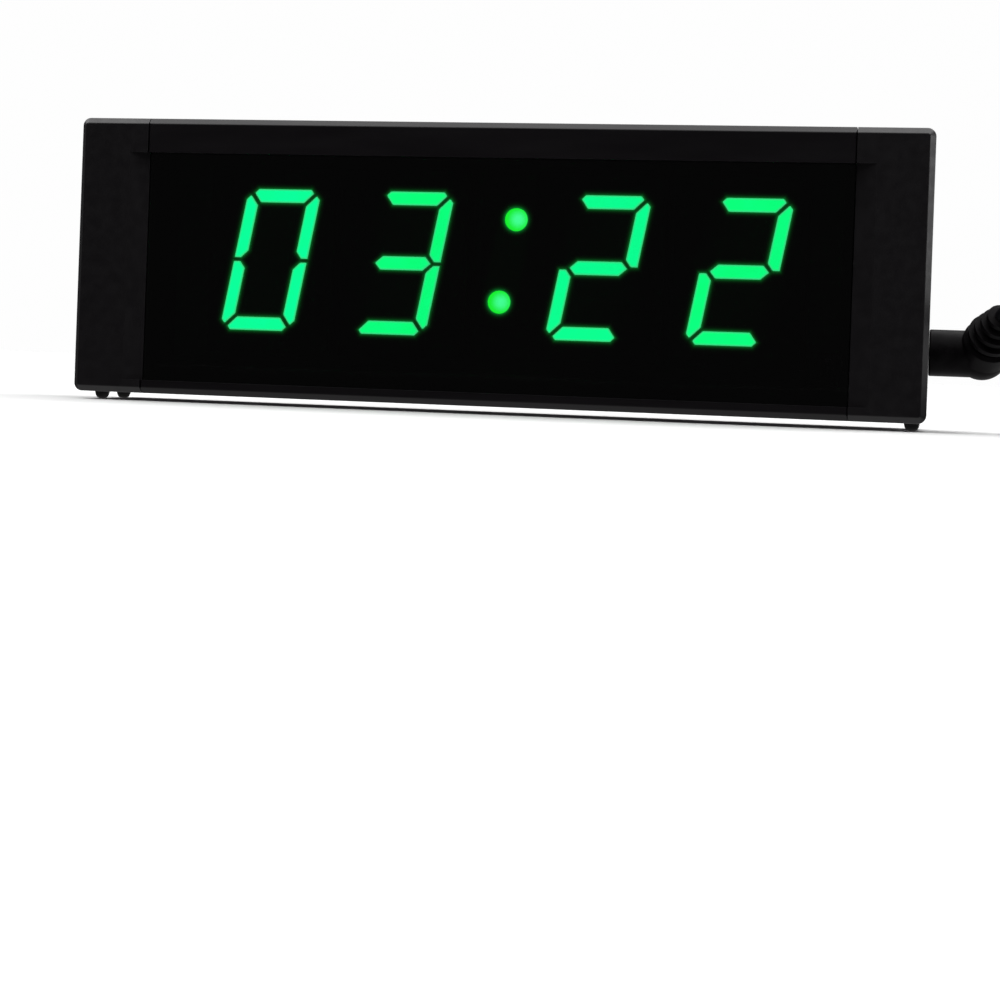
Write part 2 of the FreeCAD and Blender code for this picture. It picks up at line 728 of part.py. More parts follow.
def strain_relief(root_radius, tip_radius, shoulder, length, ribs):
    # Smooth shoulder, then ribs that shrink toward the tip, turned about +Z.
    points = [(0, 0), (root_radius, 0), (root_radius, shoulder - 0.8), (root_radius - 0.8, shoulder)]
    pitch = (length - shoulder) / ribs
    for count in range(ribs):
        start = shoulder + count * pitch
        rib = root_radius + (tip_radius - root_radius) * (count + 0.5) / ribs
        neck = rib * 0.72
        points.append((neck, start))
        points.append((neck, start + pitch * 0.38))
        points.append((rib, start + pitch * 0.45))
        points.append((rib, start + pitch * 0.95))
        points.append((neck, start + pitch))
    points.append((0, length))
    return turned_profile(points)


def round_coil(angle, radius, height):
    # Point at an angle in degrees round the coil's centre.
    turned = math.radians(angle)
    return coil_centre + Vector(radius * math.cos(turned), radius * math.sin(turned), height)


def cord_route_to_coil():
    # From the plug's strain relief, over and down in one wide spiral that runs into the coil.
    return [
        arm_tip,
        arm_tip + arm * 13.4,
        round_coil(232.0, 29.4, 40.0),
        round_coil(265.0, 28.8, 37.6),
        round_coil(304.0, 28.1, 28.9),
        round_coil(324.0, 28.0, 21.7),
        round_coil(350.0, 27.7, 15.2),
        round_coil(17.0, 27.3, 10.8),
        round_coil(45.0, 26.5, 9.2),
        round_coil(73.0, 25.7, 8.8),
        round_coil(101.0, 25.0, 8.2),
    ]


def cord_route_to_adapter():
    # From the coil's near side, rising into the adapter's strain relief.
    mouth = adapter_at(adapter_mouth)
    return [
        round_coil(248.0, 21.6, 8.9),
        round_coil(276.0, 22.2, 9.6),
        round_coil(303.0, 24.8, 10.8),
        Vector(mouth.x - 19.0, mouth.y - 8.0, 12.6),
        Vector(mouth.x - 10.0, mouth.y - 1.4, 14.5),
        mouth,
    ]


def cord_coil():
    # Outer shape of the wound and tied turns.
    inner = coil_mean_radius - coil_half_width
    outer = coil_mean_radius + coil_half_width
    ring = rod_z(outer, 0.0, coil_height, coil_centre.x, coil_centre.y)
    ring = ring.cut(rod_z(inner, -1, coil_height + 1, coil_centre.x, coil_centre.y))
    rims = [edge for edge in ring.Edges if len(edge.Vertexes) == 1]
    return ring.makeFillet(3.0, rims)


def cord_tie():
    # Flat band round the coil's bundle, on the side toward the timer, where the first turn lies outermost.
    x = coil_centre.x - coil_mean_radius
    around = box(x - coil_half_width - 2.4, x + coil_half_width + 0.9, coil_centre.y - 3.0,
                 coil_centre.y + 3.0, 0.0, coil_height + 1.0)
    edges = edges_where(around, lambda a, b: near(a.x, b.x) and near(a.z, b.z) and a.z > 1)
    around = around.makeFillet(2.6, edges)
    return around.cut(pieces["cord_coil"])


# ---- adapter ----
# Its pieces are made about the origin, lying on their back with the cord's end toward -Y.
adapter_mouth = Vector(0, -adapter_half_length - relief_length, adapter_seam)


def adapter_at(thing):
    # Turns a point or shape so that the cord's end faces the coil, and moves it to its place.
    if isinstance(thing, Vector):
        return Vector(adapter_place.x + thing.y, adapter_place.y - thing.x, thing.z)
    placed = thing.copy()
    placed.rotate(Vector(0, 0, 0), Vector(0, 0, 1), -90)
    placed.translate(adapter_place)
    return placed


def adapter_box(inset, corner):
    block = box(-adapter_half_width + inset, adapter_half_width - inset, -adapter_half_length + inset,
                adapter_half_length - inset, inset, adapter_height - inset)
    upright = edges_where(block, lambda a, b: near(a.x, b.x) and near(a.y, b.y))
    return block.makeFillet(corner, upright)


def adapter_walls():
    block = adapter_box(0.0, 9.0)
    rims = [edge for edge in block.Edges if near(edge.BoundBox.ZMin, edge.BoundBox.ZMax)]
    block = block.makeFillet(3.0, rims).cut(grip_notches())
    cord_hole = rod_y(3.5, -adapter_half_length - 5.0, -adapter_half_length + 5.0, 0, adapter_seam)
    return block.cut(adapter_box(adapter_skin, 7.0)).cut(cord_hole)


def grip_notches():
    notches = []
    for x in (-adapter_half_width, adapter_half_width):
        for count in range(13):
            notches.append(rod_z(1.1, 4.0, adapter_height - 4.0, x, -27.0 + 4.5 * count))
    return Part.makeCompound(notches)


def adapter_back_shell():
    below = box(-60, 60, -60, 60, -1, adapter_seam - 0.1)
    return adapter_walls().common(below).cut(adapter_label())


def adapter_front_shell():
    # Upper half with the raised block that carries the two blades.
    shell = adapter_walls().common(box(-60, 60, -60, 60, adapter_seam + 0.1, 100))
    raised = box(-12.0, 12.0, blade_shift - 14.0, blade_shift + 14.0, adapter_height - 2.0, plug_block_top)
    upright = edges_where(raised, lambda a, b: near(a.x, b.x) and near(a.y, b.y))
    shell = shell.fuse(raised.makeFillet(4.0, upright)).removeSplitter()
    for side in (-1, 1):
        shell = shell.cut(blade_bar(side))
    return shell


def blade_bar(side):
    x = side * blade_spacing / 2
    return box(x - 0.75, x + 0.75, blade_shift - 3.2, blade_shift + 3.2, adapter_height - 5.0,
               plug_block_top + blade_length)


def adapter_blades():
    blades = []
    top = plug_block_top + blade_length
    for side in (-1, 1):
        bar = blade_bar(side)
        x = side * blade_spacing / 2
        corners = edges_where(bar, lambda a, b: near(a.z, top) and near(b.z, top) and near(a.y, b.y))
        bar = bar.makeFillet(1.2, corners)
        blades.append(bar.cut(rod_x(1.6, x - 2, x + 2, blade_shift, top - 3.6)))
    return Part.makeCompound(blades)


def adapter_label():
    # Blank paper label let into the case's side, below the seam.
    x = adapter_half_width - 1.35
    return box(x, x + 0.2, -30.0, -4.0, 4.6, 12.6)


def adapter_strain_relief():
    relief = strain_relief(3.9, 2.6, 5.0, relief_length, 3)
    collar = turned_profile([(0, -3.4), (4.6, -3.4), (4.6, -2.3), (3.4, -2.2), (3.4, 0.2), (0, 0.2)])
    return point_along(relief.fuse(collar), Vector(0, -adapter_half_length, adapter_seam), Vector(0, -1, 0))


def adapter_board():
    board = box(-17.0, 17.0, -33.0, 34.0, 5.0, 5.0 + board_thickness)
    posts = [rod_z(2.0, adapter_skin, 5.0, x, y) for x in (-13.0, 13.0) for y in (-28.0, 28.0)]
    return fuse_all([board] + posts)


def adapter_transformer():
    core = box(-8.0, 8.0, -13.0, 5.0, 6.6, 22.0)
    window = box(-4.5, 4.5, -14.0, 6.0, 10.0, 18.6)
    winding = box(-4.4, 4.4, -15.0, 7.0, 10.1, 18.5)
    return Part.makeCompound([core.cut(window), winding.makeFillet(1.5, winding.Edges)])


def adapter_capacitors():
    big = rod_z(6.0, 6.6, 24.0, 4.0, 24.0)
    small = rod_z(4.0, 6.6, 19.0, -6.0, -24.0)
    return Part.makeCompound([big, small])


# ---- build and write ----
def lead_tube(points, name, blockers):
    tube, length, tightest, ratio = cord_tube(points, cord_radius)
    print(name, "length", round(length, 1), "tightest radius", round(tightest, 1),
          "in diameters", round(tightest / cord_diameter, 1), "volume ratio", round(ratio, 4))
    for blocker in blockers:
        tube = tube.cut(blocker)
    return tube


def build_case():
    pieces["case_profile"] = case_profile()
    pieces["end_cap_left"] = end_cap_left()
    pieces["end_cap_right"] = end_cap_right()
    pieces["end_cap_screws_left"] = mirrored(end_cap_screws())
    pieces["end_cap_screws_right"] = end_cap_screws()
    pieces["lens"] = lens()
    for side_name, side in (("left", -1), ("right", 1)):
        for end_name, y in zip(("front", "rear"), foot_places_y):
            pieces["foot_" + end_name + "_" + side_name] = foot(side * foot_x, y)
        pieces["hanger_plate_" + side_name] = hanger_plate(side * hanger_home)


def build_display():
    shown = ("abcdef", "abcdg", "abdeg", "abdeg")
    dark = []
    for number, (centre_x, lit) in enumerate(zip(digit_centres, shown), start=1):
        pieces[f"digit_{number}_housing"] = digit_housing(centre_x)
        pieces[f"digit_{number}_lit_segments"] = Part.makeCompound(segments(centre_x, lit))
        dark += segments(centre_x, [letter for letter in "abcdefg" if letter not in lit])
    pieces["dark_segments"] = Part.makeCompound(dark)
    pieces["colon_holder"] = colon_holder()
    pieces["colon_lamp_upper"] = colon_lamp(1)
    pieces["colon_lamp_lower"] = colon_lamp(-1)


def build_electronics():
    pieces["display_board"] = display_board()
    pieces["microcontroller"] = chip(10.0, case_bottom + 34.0, 12.8, 7.5, 2.5, 10)
    pieces["display_driver"] = chip(-30.0, case_bottom + 34.0, 18.0, 7.5, 2.5, 14)
    pieces["clock_chip"] = chip(30.0, case_bottom + 30.0, 5.0, 4.0, 1.6, 4)
    pieces["clock_crystal"] = clock_crystal()
    pieces["coin_cell_holder"] = coin_cell_holder()
    pieces["coin_cell"] = coin_cell()
    pieces["buzzer"] = buzzer()
    pieces["storage_capacitors"] = storage_capacitors()
    pieces["voltage_regulator"] = voltage_regulator()
    pieces["infrared_receiver"] = infrared_receiver()
    pieces["board_connector"] = board_connector()
    pieces["wire_plug"] = wire_plug()


def build_inlet():
    pieces["jack_housing"] = jack_housing()
    pieces["jack_pin"] = jack_pin()
    pieces["jack_spring"] = jack_spring()
    pieces["jack_board"] = jack_board()
    pieces["jack_board_screws"] = jack_board_screws()
    pieces["jack_wire_positive"] = jack_wire(1)
    pieces["jack_wire_negative"] = jack_wire(-1)


def build_lead():
    pieces["plug_barrel"] = plug_barrel()
    pieces["plug_insulator"] = plug_insulator()
    pieces["plug_contact"] = plug_contact()
    pieces["plug_overmold"] = plug_overmold()
    pieces["cord_coil"] = cord_coil()
    pieces["cord_tie"] = cord_tie()
    pieces["adapter_strain_relief"] = adapter_at(adapter_strain_relief())
    pieces["cord_near_plug"] = lead_tube(cord_route_to_coil(), "cord near plug",
                                         [pieces["cord_coil"], pieces["plug_overmold"]])
    pieces["cord_near_adapter"] = lead_tube(cord_route_to_adapter(), "cord near adapter",
                                            [pieces["cord_coil"], pieces["adapter_strain_relief"]])
    print("coil length", round(coil_turns * 2 * math.pi * coil_mean_radius, 1))


def build_adapter():
    pieces["adapter_label"] = adapter_at(adapter_label())
    pieces["adapter_back_shell"] = adapter_at(adapter_back_shell())
    pieces["adapter_front_shell"] = adapter_at(adapter_front_shell())
    pieces["adapter_blades"] = adapter_at(adapter_blades())
    pieces["adapter_board"] = adapter_at(adapter_board())
    pieces["adapter_transformer"] = adapter_at(adapter_transformer())
    pieces["adapter_capacitors"] = adapter_at(adapter_capacitors())


def main():
    os.makedirs("parts", exist_ok=True)
    build_case()
    build_display()
    build_electronics()
    build_inlet()
    build_lead()
    build_adapter()
    for name, shape in pieces.items():
        shape.exportStep("parts/" + name + ".step")
    print(len(pieces), "nodes written")


main()
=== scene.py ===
"""Looks of the gym round timer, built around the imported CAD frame.

Metres, +Z up, display facing -Y, +X to the right when reading the digits.
"""

import json
import math

import bmesh
import bpy
from mathutils import Matrix, Vector
from mathutils.geometry import convex_hull_2d, delaunay_2d_cdt


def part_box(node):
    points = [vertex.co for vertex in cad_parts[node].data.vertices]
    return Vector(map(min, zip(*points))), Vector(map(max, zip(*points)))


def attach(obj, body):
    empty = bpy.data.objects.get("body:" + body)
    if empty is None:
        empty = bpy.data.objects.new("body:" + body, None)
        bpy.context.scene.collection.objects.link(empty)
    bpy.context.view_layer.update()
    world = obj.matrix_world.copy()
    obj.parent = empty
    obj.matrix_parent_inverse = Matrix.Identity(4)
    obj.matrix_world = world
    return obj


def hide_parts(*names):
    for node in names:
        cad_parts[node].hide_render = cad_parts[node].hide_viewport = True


MM = 0.001

# ---- camera ----
CAMERA_PLACE = (0.1060, -0.520, 0.0120)
CAMERA_TURN = math.radians(11.47)
CAMERA_ROLL = 0.0362              # radians
CAMERA_LENS = 73.66               # on a sensor of the width below, both in millimetres
CAMERA_SENSOR = 36.0
CAMERA_SHIFT_Y = -0.1327

# ---- power cord, in millimetres ----
CORD_DIAMETER = 3.4
COIL_CENTRE = (158.0, -8.0)
COIL_MEAN_RADIUS = 19.0
COIL_CORNER_ALLOWANCE = 1.022     # a spline runs inside its points
COIL_POINTS_PER_TURN = 15
COIL_TURNS = 6.275
COIL_START_ANGLE = math.radians(125.0)
# The turns drift round the bundle through these places: offset from the mean radius, and height.
COIL_PLACES = [
    (6.30, 9.02),
    (4.20, 5.39),
    (2.10, 1.75),
    (-2.10, 1.75),
    (-4.20, 5.39),
    (-2.10, 9.02),
    (2.10, 9.02),
]
COIL_FIRST_PLACE = 0.42
ROUTE_TO_COIL = [
    (125.98, -13.28, 28.63),      # out of the plug's sleeve
    (129.20, -24.00, 36.00),
    (139.9, -31.2, 40.0),
    (155.5, -36.7, 37.6),
    (173.7, -31.3, 28.9),
    (180.7, -24.5, 21.7),
    (185.3, -12.8, 15.2),
    (184.1, 0.0, 10.8),
    (176.7, 10.7, 9.2),
    (165.5, 16.6, 8.8),
    (153.2, 16.5, 8.2),
]
ROUTE_TO_ADAPTER = [
    (149.9, -28.0, 8.9),
    (160.3, -30.1, 9.6),
    (171.5, -28.8, 10.8),
    (182.0, -22.0, 12.6),
    (191.0, -15.4, 14.5),
    (201.0, -14.0, 15.0),         # into the adapter's strain relief
]

# ---- tie round the coil ----
TIE_WIDTH = 6.0 * MM
TIE_THICKNESS = 0.8 * MM
TIE_CLEARANCE = 0.15 * MM
TIE_SOLE = 0.05 * MM              # what lies between the lowest turns and the floor

# ---- lit digits ----
LENS_PASS = 0.12                  # share of the light that comes out through the lens
DIGIT_BORDERS = (-75.8 * MM, -40.6 * MM, 2.2 * MM, 45.0 * MM, 80.2 * MM)
SEGMENT_BLUE = (0.325, 0.185, 0.280, 0.195)     # blue in the green of each digit, from the left
SEGMENT_CLOUD = (0.003, 1.0, 0.25)              # tone that clouds the green of all digits alike
SEGMENT_RIM = (0.040, 0.66, 0.22)
SEGMENT_PROUD = 0.10 * MM
PAINT_OVERLAP = 0.22 * MM         # how far the face's black paint runs over the edge of each bar
CLEAR_HEIGHT = 0.97               # height of the openings in the paint against the height of the digit
RIM_WIDTH = 0.50 * MM
RIM_ROUND = 0.12 * MM             # how far the rounded edge of a bar reaches inwards
RIM_ROUND_SHARE = 0.6             # how much of the rise lies on that rounded edge
RIM_RISE = 0.14 * MM
CORNER_CUT = 0.30 * MM
GLOW_COLOUR = (0.012, 1.0, 0.13)
GLOW_STRENGTH = 0.20
GLOW_FADE = 0.28 * MM
GLOW_RINGS = (0.15 * MM, 0.35 * MM, 0.6 * MM, 1.0 * MM, 1.6 * MM)
FILM_THICKNESS = 0.04 * MM
FILM_INSET = 0.4 * MM
LAMP_HOLE_RADIUS = 2.95 * MM
CIRCLE_SIDES = 48

# ---- reading outlines off the CAD nodes ----
WELD_DISTANCE = 0.002 * MM
FRONT_DEPTH = 0.01 * MM           # faces no deeper than this behind the foremost one count as the front
STRAIGHT_COSINE = 0.9995          # corners that turn less than this are left out

# ---- studio ----
OVERHEAD_LIGHT = 2.4
WALL_LIGHT = 0.35
BENEATH_LIGHT = 0.45
LIGHT_ALL_ROUND = 0.04
SEEN_WHITE = 0.99
FLOOR_REACH = 20.0


# ---- camera and cord ----
def make_camera():
    camera = bpy.data.cameras.new("camera")
    camera.lens = CAMERA_LENS
    camera.sensor_width = CAMERA_SENSOR
    camera.shift_y = CAMERA_SHIFT_Y
    camera.clip_start = 0.01
    holder = bpy.data.objects.new("camera", camera)
    bpy.context.scene.collection.objects.link(holder)
    turn = Matrix.Rotation(CAMERA_TURN, 4, "Z") @ Matrix.Rotation(math.pi / 2, 4, "X")
    holder.matrix_world = Matrix.Translation(CAMERA_PLACE) @ turn @ Matrix.Rotation(CAMERA_ROLL, 4, "Z")
    bpy.context.scene.camera = holder


def place_in_bundle(turns):
    """Offset from the coil's mean radius, and height, after that many turns."""
    last = len(COIL_PLACES) - 1
    drift = COIL_FIRST_PLACE + (last - COIL_FIRST_PLACE) * turns / COIL_TURNS
    step = min(int(drift), last - 1)
    return Vector(COIL_PLACES[step]).lerp(Vector(COIL_PLACES[step + 1]), drift - step)


def coil_points():
    """The wound turns as points of the cord's own line."""
    points = []
    for count in range(round(COIL_TURNS * COIL_POINTS_PER_TURN) + 1):
        turns = count / COIL_POINTS_PER_TURN
        offset, height = place_in_bundle(turns)
        radius = (COIL_MEAN_RADIUS + offset) * COIL_CORNER_ALLOWANCE
        angle = COIL_START_ANGLE + turns * 2 * math.pi
        x = COIL_CENTRE[0] + radius * math.cos(angle)
        y = COIL_CENTRE[1] + radius * math.sin(angle)
        points.append((x, y, height))
    return points


def make_cord():
    route = ROUTE_TO_COIL + coil_points() + ROUTE_TO_ADAPTER
    curve = bpy.data.curves.new("power_cord", "CURVE")
    curve.dimensions = "3D"
    spline = curve.splines.new("NURBS")
    spline.points.add(len(route) - 1)
    for point, place in zip(spline.points, route):
        point.co = (*(Vector(place) * MM), 1.0)
        point.radius = CORD_DIAMETER / 2 * MM
    spline.order_u = 3
    spline.use_endpoint_u = True
    spline.resolution_u = 6
    curve.bevel_depth = 1.0
    curve.bevel_resolution = 5
    curve.use_fill_caps = True
    cord = bpy.data.objects.new("power_cord", curve)
    bpy.context.scene.collection.objects.link(cord)
    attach(cord, "power_lead")
    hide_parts("cord_near_plug", "cord_coil", "cord_near_adapter")
    return cord


# ---- small helpers for node materials ----
def new_material(name, colour, roughness, metallic=0.0, specular=0.5):
    material = bpy.data.materials.new(name)
    material.use_nodes = True
    shader = shader_of(material)
    shader.inputs["Base Color"].default_value = (*colour, 1.0)
    shader.inputs["Roughness"].default_value = roughness
    shader.inputs["Metallic"].default_value = metallic
    shader.inputs["Specular IOR Level"].default_value = specular
    return material


def shader_of(material):
    return material.node_tree.nodes["Principled BSDF"]


def put(tree, value, socket):
    """Links a socket, or sets a plain number or colour."""
    if isinstance(value, bpy.types.NodeSocket):
        tree.links.new(value, socket)
    else:
        socket.default_value = value


def math_node(tree, operation, first, second=0.0):
    node = tree.nodes.new("ShaderNodeMath")
    node.operation = operation
    put(tree, first, node.inputs[0])
    put(tree, second, node.inputs[1])
    return node.outputs[0]


def remap(tree, value, low, high, new_low, new_high, smooth=False):
    node = tree.nodes.new("ShaderNodeMapRange")
    node.interpolation_type = "SMOOTHSTEP" if smooth else "LINEAR"
    put(tree, value, node.inputs["Value"])
    node.inputs["From Min"].default_value = low
    node.inputs["From Max"].default_value = high
    node.inputs["To Min"].default_value = new_low
    node.inputs["To Max"].default_value = new_high
    return node.outputs["Result"]


def mix_colours(tree, share, first, second):
    node = tree.nodes.new("ShaderNodeMix")
    node.data_type = "RGBA"
    put(tree, share, node.inputs["Factor"])
    put(tree, first, node.inputs[6])
    put(tree, second, node.inputs[7])
    return node.outputs[2]


def noise(material, size, detail=3.0, stretch=(1.0, 1.0, 1.0)):
    """Noise whose features are about size metres across, longer where stretch is above 1."""
    tree = material.node_tree
    place = tree.nodes.new("ShaderNodeTexCoord")
    mapping = tree.nodes.new("ShaderNodeMapping")
    mapping.inputs["Scale"].default_value = [1.0 / (size * factor) for factor in stretch]
    pattern = tree.nodes.new("ShaderNodeTexNoise")
    pattern.inputs["Scale"].default_value = 1.0
    pattern.inputs["Detail"].default_value = detail
    tree.links.new(place.outputs["Object"], mapping.inputs["Vector"])
    tree.links.new(mapping.outputs["Vector"], pattern.inputs["Vector"])
    return pattern.outputs["Fac"]


def mottle(material, size, dark, light, stretch=(1.0, 1.0, 1.0)):
    """Colour that drifts between two tones."""
    tree = material.node_tree
    share = remap(tree, noise(material, size, stretch=stretch), 0.35, 0.65, 0.0, 1.0, smooth=True)
    colour = mix_colours(tree, share, (*dark, 1.0), (*light, 1.0))
    tree.links.new(colour, shader_of(material).inputs["Base Color"])


def vary_roughness(material, size, low, high, stretch=(1.0, 1.0, 1.0)):
    tree = material.node_tree
    roughness = remap(tree, noise(material, size, stretch=stretch), 0.35, 0.65, low, high)
    tree.links.new(roughness, shader_of(material).inputs["Roughness"])


def grain(material, size, height, stretch=(1.0, 1.0, 1.0), detail=3.0):
    """Fine surface relief, on top of any relief that the material already has."""
    tree = material.node_tree
    bump = tree.nodes.new("ShaderNodeBump")
    bump.inputs["Strength"].default_value = 1.0
    bump.inputs["Distance"].default_value = height
    tree.links.new(noise(material, size, detail, stretch), bump.inputs["Height"])
    normal = shader_of(material).inputs["Normal"]
    if normal.is_linked:
        tree.links.new(normal.links[0].from_socket, bump.inputs["Normal"])
    tree.links.new(bump.outputs["Normal"], normal)


def worn_edges(material, radius, colour, amount):
    """Edges rubbed towards a lighter colour, found where a rounded normal leaves the true one."""
    tree = material.node_tree
    rounded = tree.nodes.new("ShaderNodeBevel")
    rounded.samples = 4
    rounded.inputs["Radius"].default_value = radius
    surface = tree.nodes.new("ShaderNodeNewGeometry")
    alike = tree.nodes.new("ShaderNodeVectorMath")
    alike.operation = "DOT_PRODUCT"
    tree.links.new(rounded.outputs["Normal"], alike.inputs[0])
    tree.links.new(surface.outputs["Normal"], alike.inputs[1])
    edge = remap(tree, alike.outputs["Value"], 0.995, 0.80, 0.0, amount)
    patchy = remap(tree, noise(material, 3 * MM), 0.40, 0.60, 0.35, 1.0)
    share = math_node(tree, "MULTIPLY", edge, patchy)
    base = shader_of(material).inputs["Base Color"]
    before = base.links[0].from_socket if base.is_linked else tuple(base.default_value)
    tree.links.new(mix_colours(tree, share, before, (*colour, 1.0)), base)


# ---- materials of the case ----
def black_profile():
    """Satin black anodised extrusion, with die lines along its length."""
    material = new_material("black_profile", (0.0085, 0.0068, 0.0088), 0.40, specular=0.33)
    mottle(material, 9 * MM, (0.0074, 0.0058, 0.0077), (0.0096, 0.0078, 0.0099), stretch=(4, 1, 1))
    vary_roughness(material, 4 * MM, 0.35, 0.44, stretch=(6, 1, 1))
    worn_edges(material, 0.35 * MM, (0.030, 0.029, 0.032), 0.6)
    grain(material, 0.35 * MM, 0.003 * MM, stretch=(60, 1, 1))
    grain(material, 0.22 * MM, 0.004 * MM)
    return material


def black_abs():
    """Moulded ABS with a fine spark-eroded texture."""
    material = new_material("black_abs", (0.0080, 0.0062, 0.0083), 0.42, specular=0.55)
    mottle(material, 7 * MM, (0.0070, 0.0053, 0.0073), (0.0090, 0.0071, 0.0093))
    vary_roughness(material, 2.5 * MM, 0.38, 0.46)
    worn_edges(material, 0.45 * MM, (0.026, 0.025, 0.027), 0.6)
    grain(material, 0.9 * MM, 0.006 * MM)
    grain(material, 0.30 * MM, 0.010 * MM)
    return material


def screw_steel():
    """Blackened cross-head screws, rubbed bright in the recess."""
    material = new_material("screw_steel", (0.08, 0.08, 0.085), 0.35, metallic=1.0)
    mottle(material, 0.8 * MM, (0.05, 0.05, 0.055), (0.12, 0.12, 0.125))
    vary_roughness(material, 0.6 * MM, 0.28, 0.42)
    worn_edges(material, 0.15 * MM, (0.38, 0.38, 0.39), 0.7)
    grain(material, 0.2 * MM, 0.003 * MM)
    return material


def smoked_lens():
    """Smoked acrylic window, glossy, with a faint haze from handling."""
    material = new_material("smoked_lens", (0.13, 0.13, 0.13), 0.03)
    shader = shader_of(material)
    shader.inputs["Transmission Weight"].default_value = 1.0
    shader.inputs["IOR"].default_value = 1.49
    mottle(material, 30 * MM, (0.127, 0.127, 0.130), (0.133, 0.133, 0.134))
    vary_roughness(material, 6 * MM, 0.015, 0.04)
    return material


def foot_rubber():
    material = new_material("foot_rubber", (0.015, 0.015, 0.015), 0.75, specular=0.3)
    mottle(material, 1.2 * MM, (0.011, 0.011, 0.011), (0.019, 0.018, 0.018))
    vary_roughness(material, 0.7 * MM, 0.68, 0.82)
    grain(material, 0.15 * MM, 0.006 * MM)
    return material


def plated_steel():
    """Zinc plated steel sheet, faintly clouded and rolled along X."""
    material = new_material("plated_steel", (0.55, 0.56, 0.58), 0.32, metallic=1.0)
    mottle(material, 2.5 * MM, (0.48, 0.49, 0.51), (0.62, 0.62, 0.62))
    vary_roughness(material, 1.5 * MM, 0.24, 0.40, stretch=(5, 1, 1))
    worn_edges(material, 0.2 * MM, (0.75, 0.75, 0.76), 0.6)
    grain(material, 0.12 * MM, 0.002 * MM, stretch=(25, 1, 1))
    return material


# ---- materials of the display ----
def light_up(material, colour, strength=1.0):
    """Makes a material give its own light, whatever the lens takes away."""
    tree = material.node_tree
    put(tree, colour, shader_of(material).inputs["Emission Color"])
    put(tree, strength, shader_of(material).inputs["Emission Strength"])


def segment_green():
    """Lit diffuser, a slightly different green in each digit, with a dimmer rim."""
    material = new_material("segment_green", (0.03, 0.20, 0.09), 0.35, specular=0.3)
    tree = material.node_tree
    mottle(material, 1.5 * MM, (0.02, 0.16, 0.07), (0.04, 0.24, 0.11))
    vary_roughness(material, 1 * MM, 0.28, 0.42)
    place = tree.nodes.new("ShaderNodeTexCoord")
    axes = tree.nodes.new("ShaderNodeSeparateXYZ")
    tree.links.new(place.outputs["Object"], axes.inputs[0])
    first, last = DIGIT_BORDERS[0], DIGIT_BORDERS[-1]
    by_digit = tree.nodes.new("ShaderNodeValToRGB")
    by_digit.color_ramp.interpolation = "CONSTANT"
    stops = by_digit.color_ramp.elements
    stops.remove(stops[1])
    for border in DIGIT_BORDERS[1:-1]:
        stops.new((border - first) / (last - first))
    for stop, blue in zip(stops, SEGMENT_BLUE):
        stop.color = (0.002, 1.0, blue, 1.0)
    tree.links.new(remap(tree, axes.outputs["X"], first, last, 0.0, 1.0), by_digit.inputs[0])
    cloud = remap(tree, noise(material, 5 * MM, detail=1.0), 0.35, 0.65, 0.0, 0.35)
    core = mix_colours(tree, cloud, by_digit.outputs["Color"], (*SEGMENT_CLOUD, 1.0))
    rim = tree.nodes.new("ShaderNodeAttribute")
    rim.attribute_name = "rim"
    colour = mix_colours(tree, rim.outputs["Fac"], core, (*SEGMENT_RIM, 1.0))
    light_up(material, colour, 1.0 / LENS_PASS)
    return material


def segment_dark():
    """Unlit diffuser epoxy, nearly as dark as the face around it."""
    material = new_material("segment_dark", (0.010, 0.013, 0.011), 0.4, specular=0.3)
    mottle(material, 1.5 * MM, (0.008, 0.011, 0.009), (0.012, 0.015, 0.013))
    vary_roughness(material, 1 * MM, 0.34, 0.46)
    return material


def digit_black():
    """Matt black paint on the fronts of the digit blocks."""
    material = new_material("digit_black", (0.008, 0.008, 0.008), 0.7, specular=0.2)
    mottle(material, 4 * MM, (0.006, 0.006, 0.006), (0.010, 0.009, 0.010))
    vary_roughness(material, 2 * MM, 0.64, 0.76)
    grain(material, 0.25 * MM, 0.004 * MM)
    return material


def display_face():
    """Printed black face over the digits, glowing faintly beside the lit segments."""
    material = digit_black()
    material.name = "display_face"
    tree = material.node_tree
    distance = tree.nodes.new("ShaderNodeAttribute")
    distance.attribute_name = "distance"
    steps = math_node(tree, "DIVIDE", distance.outputs["Fac"], -GLOW_FADE)
    fade = math_node(tree, "EXPONENT", steps)
    strength = math_node(tree, "MULTIPLY", fade, GLOW_STRENGTH / LENS_PASS)
    light_up(material, (*GLOW_COLOUR, 1.0), strength)
    return material


def lamp_green():
    """Round lamp, brightest a little right of its middle."""
    material = new_material("lamp_green", (0.05, 0.30, 0.08), 0.25)
    tree = material.node_tree
    mottle(material, 1.5 * MM, (0.04, 0.26, 0.07), (0.06, 0.34, 0.10))
    vary_roughness(material, 1 * MM, 0.2, 0.3)
    place = tree.nodes.new("ShaderNodeTexCoord")
    from_hot_spot = tree.nodes.new("ShaderNodeMapping")
    from_hot_spot.inputs["Location"].default_value = (-0.60, 0.0, -0.5)
    from_hot_spot.inputs["Scale"].default_value = (1.0, 0.0, 1.0)
    reach = tree.nodes.new("ShaderNodeVectorMath")
    reach.operation = "LENGTH"
    tree.links.new(place.outputs["Generated"], from_hot_spot.inputs["Vector"])
    tree.links.new(from_hot_spot.outputs["Vector"], reach.inputs[0])
    edge = remap(tree, reach.outputs["Value"], 0.05, 0.45, 0.0, 1.0, smooth=True)
    colour = mix_colours(tree, edge, (0.055, 1.0, 0.29, 1.0), (0.009, 0.85, 0.030, 1.0))
    light_up(material, colour, 1.0 / LENS_PASS)
    return material


